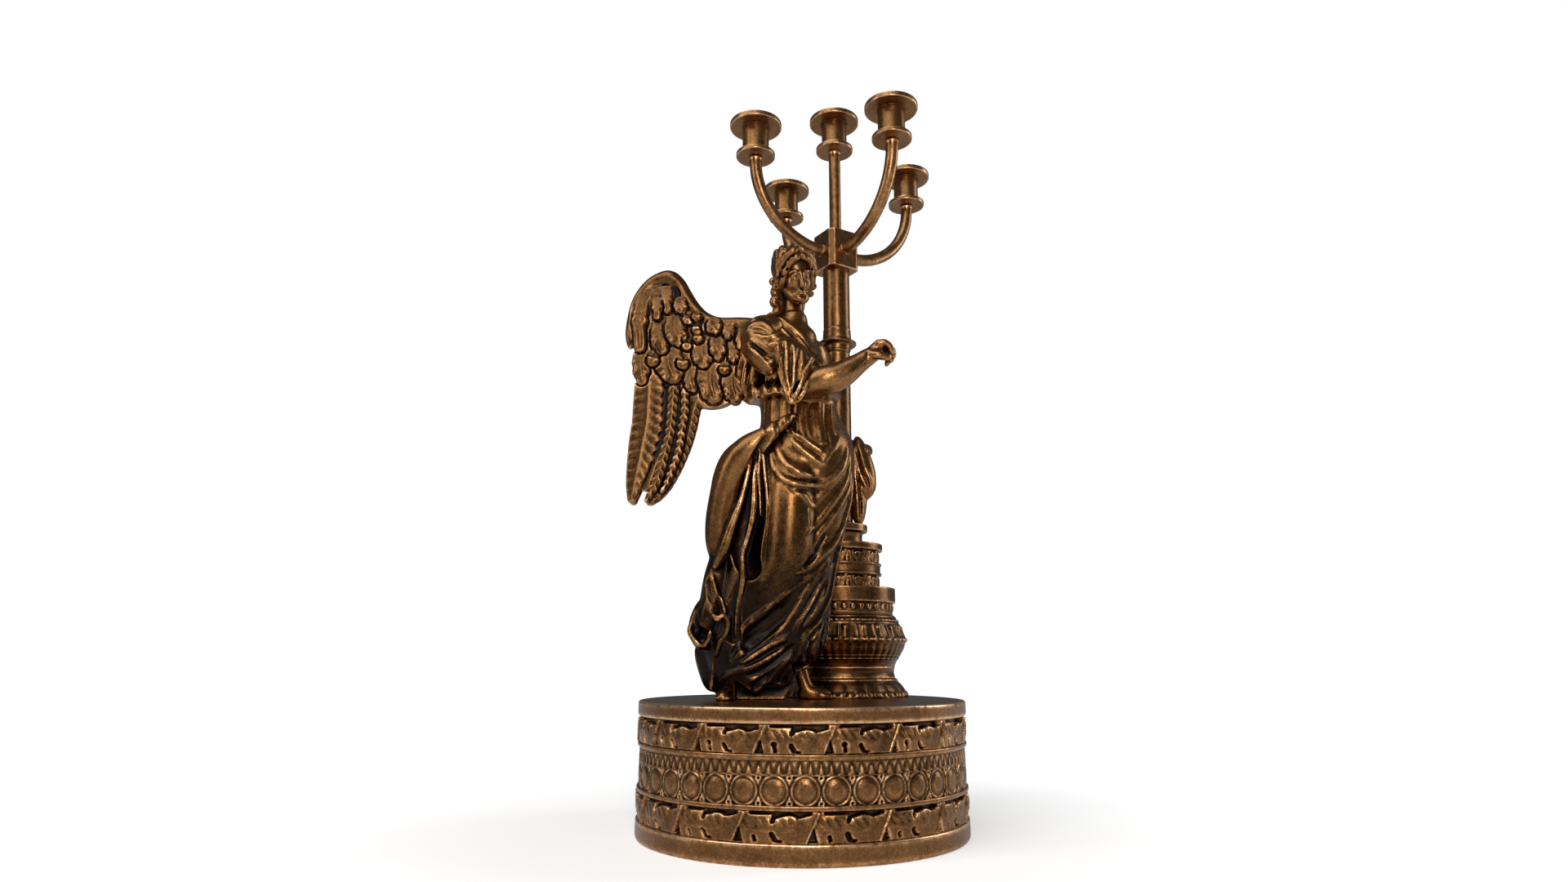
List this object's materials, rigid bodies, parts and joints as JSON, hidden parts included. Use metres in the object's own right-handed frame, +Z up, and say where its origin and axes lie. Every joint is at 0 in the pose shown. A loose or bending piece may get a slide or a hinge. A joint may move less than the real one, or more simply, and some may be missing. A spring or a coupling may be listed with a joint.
{
  "type": "figural candelabrum",
  "caption": "Figural candelabrum: a winged, draped figure beside a turned column on a round ornamented drum, with a turning branch head and lift-out candle nozzles.",
  "frame": {"origin": "centre of the drum's underside, on the surface it stands on", "axes": "+Z up, +X to the figure's outstretched right hand side of the view, -Y towards the front of the drum"},
  "size_m": [0.3344, 0.3364, 0.7638],
  "materials": {
    "bronze_drum": "antique bronze, worn bright on the edges, near black in the recesses",
    "bronze_pedestal": "antique bronze, dark patina in the recesses",
    "bronze_column": "antique bronze, satin",
    "bronze_figure": "antique bronze, polished high folds, dark recesses",
    "bronze_branches": "antique bronze, mottled and rubbed",
    "steel": "plain turned steel"
  },
  "bodies": {
    "base": {"base_flange": "bronze_drum", "drum_shell": "bronze_drum", "lower_frieze": "bronze_drum", "lower_fillet": "bronze_drum", "medallion_band": "bronze_drum", "medallions": "bronze_drum", "dart_band": "bronze_drum", "upper_fillet": "bronze_drum", "upper_frieze": "bronze_drum", "top_plate": "bronze_drum", "tie_rod": "steel", "base_washer": "steel", "base_nut": "steel", "head_washer": "steel", "head_nut": "steel", "figure_screws": "steel", "pedestal_foot": "bronze_pedestal", "pedestal_neck": "bronze_pedestal", "pedestal_urn": "bronze_pedestal", "bead_band": "bronze_pedestal", "pedestal_cornice": "bronze_pedestal", "lower_small_drum": "bronze_pedestal", "middle_ring": "bronze_pedestal", "upper_small_drum": "bronze_pedestal", "pedestal_cap": "bronze_pedestal", "column_plinth": "bronze_column", "column_shaft": "bronze_column", "column_collar": "bronze_column", "column_upper": "bronze_column", "robe": "bronze_figure", "mantle": "bronze_figure", "mantle_tail": "bronze_figure", "bodice": "bronze_figure", "head": "bronze_figure", "sleeve": "bronze_figure", "right_arm": "bronze_figure", "left_arm": "bronze_figure", "right_wing": "bronze_figure", "left_wing": "bronze_figure", "right_foot": "bronze_figure", "left_foot": "bronze_figure"},
    "branch_head": {"hub": "bronze_branches", "centre_stem": "bronze_branches", "branch_front_left": "bronze_branches", "branch_front_right": "bronze_branches", "branch_back_right": "bronze_branches", "branch_back_left": "bronze_branches", "pan_centre": "bronze_branches", "pan_front_left": "bronze_branches", "pan_front_right": "bronze_branches", "pan_back_right": "bronze_branches", "pan_back_left": "bronze_branches"},
    "nozzle_body_centre": {"nozzle_centre": "bronze_branches"},
    "nozzle_body_front_left": {"nozzle_front_left": "bronze_branches"},
    "nozzle_body_front_right": {"nozzle_front_right": "bronze_branches"},
    "nozzle_body_back_right": {"nozzle_back_right": "bronze_branches"},
    "nozzle_body_back_left": {"nozzle_back_left": "bronze_branches"}
  },
  "joints": [
    {"name": "branch_turn", "type": "hinge", "parent": "base", "child": "branch_head", "pos_m": [0.042, 0.069, 0.595], "axis": [0, 0, 1], "continuous": true},
    {"name": "nozzle_lift_centre", "type": "slide", "parent": "branch_head", "child": "nozzle_body_centre", "axis": [0, 0, 1], "range_m": [0, 0.03]},
    {"name": "nozzle_lift_front_left", "type": "slide", "parent": "branch_head", "child": "nozzle_body_front_left", "axis": [0, 0, 1], "range_m": [0, 0.03]},
    {"name": "nozzle_lift_front_right", "type": "slide", "parent": "branch_head", "child": "nozzle_body_front_right", "axis": [0, 0, 1], "range_m": [0, 0.03]},
    {"name": "nozzle_lift_back_right", "type": "slide", "parent": "branch_head", "child": "nozzle_body_back_right", "axis": [0, 0, 1], "range_m": [0, 0.03]},
    {"name": "nozzle_lift_back_left", "type": "slide", "parent": "branch_head", "child": "nozzle_body_back_left", "axis": [0, 0, 1], "range_m": [0, 0.03]}
  ]
}
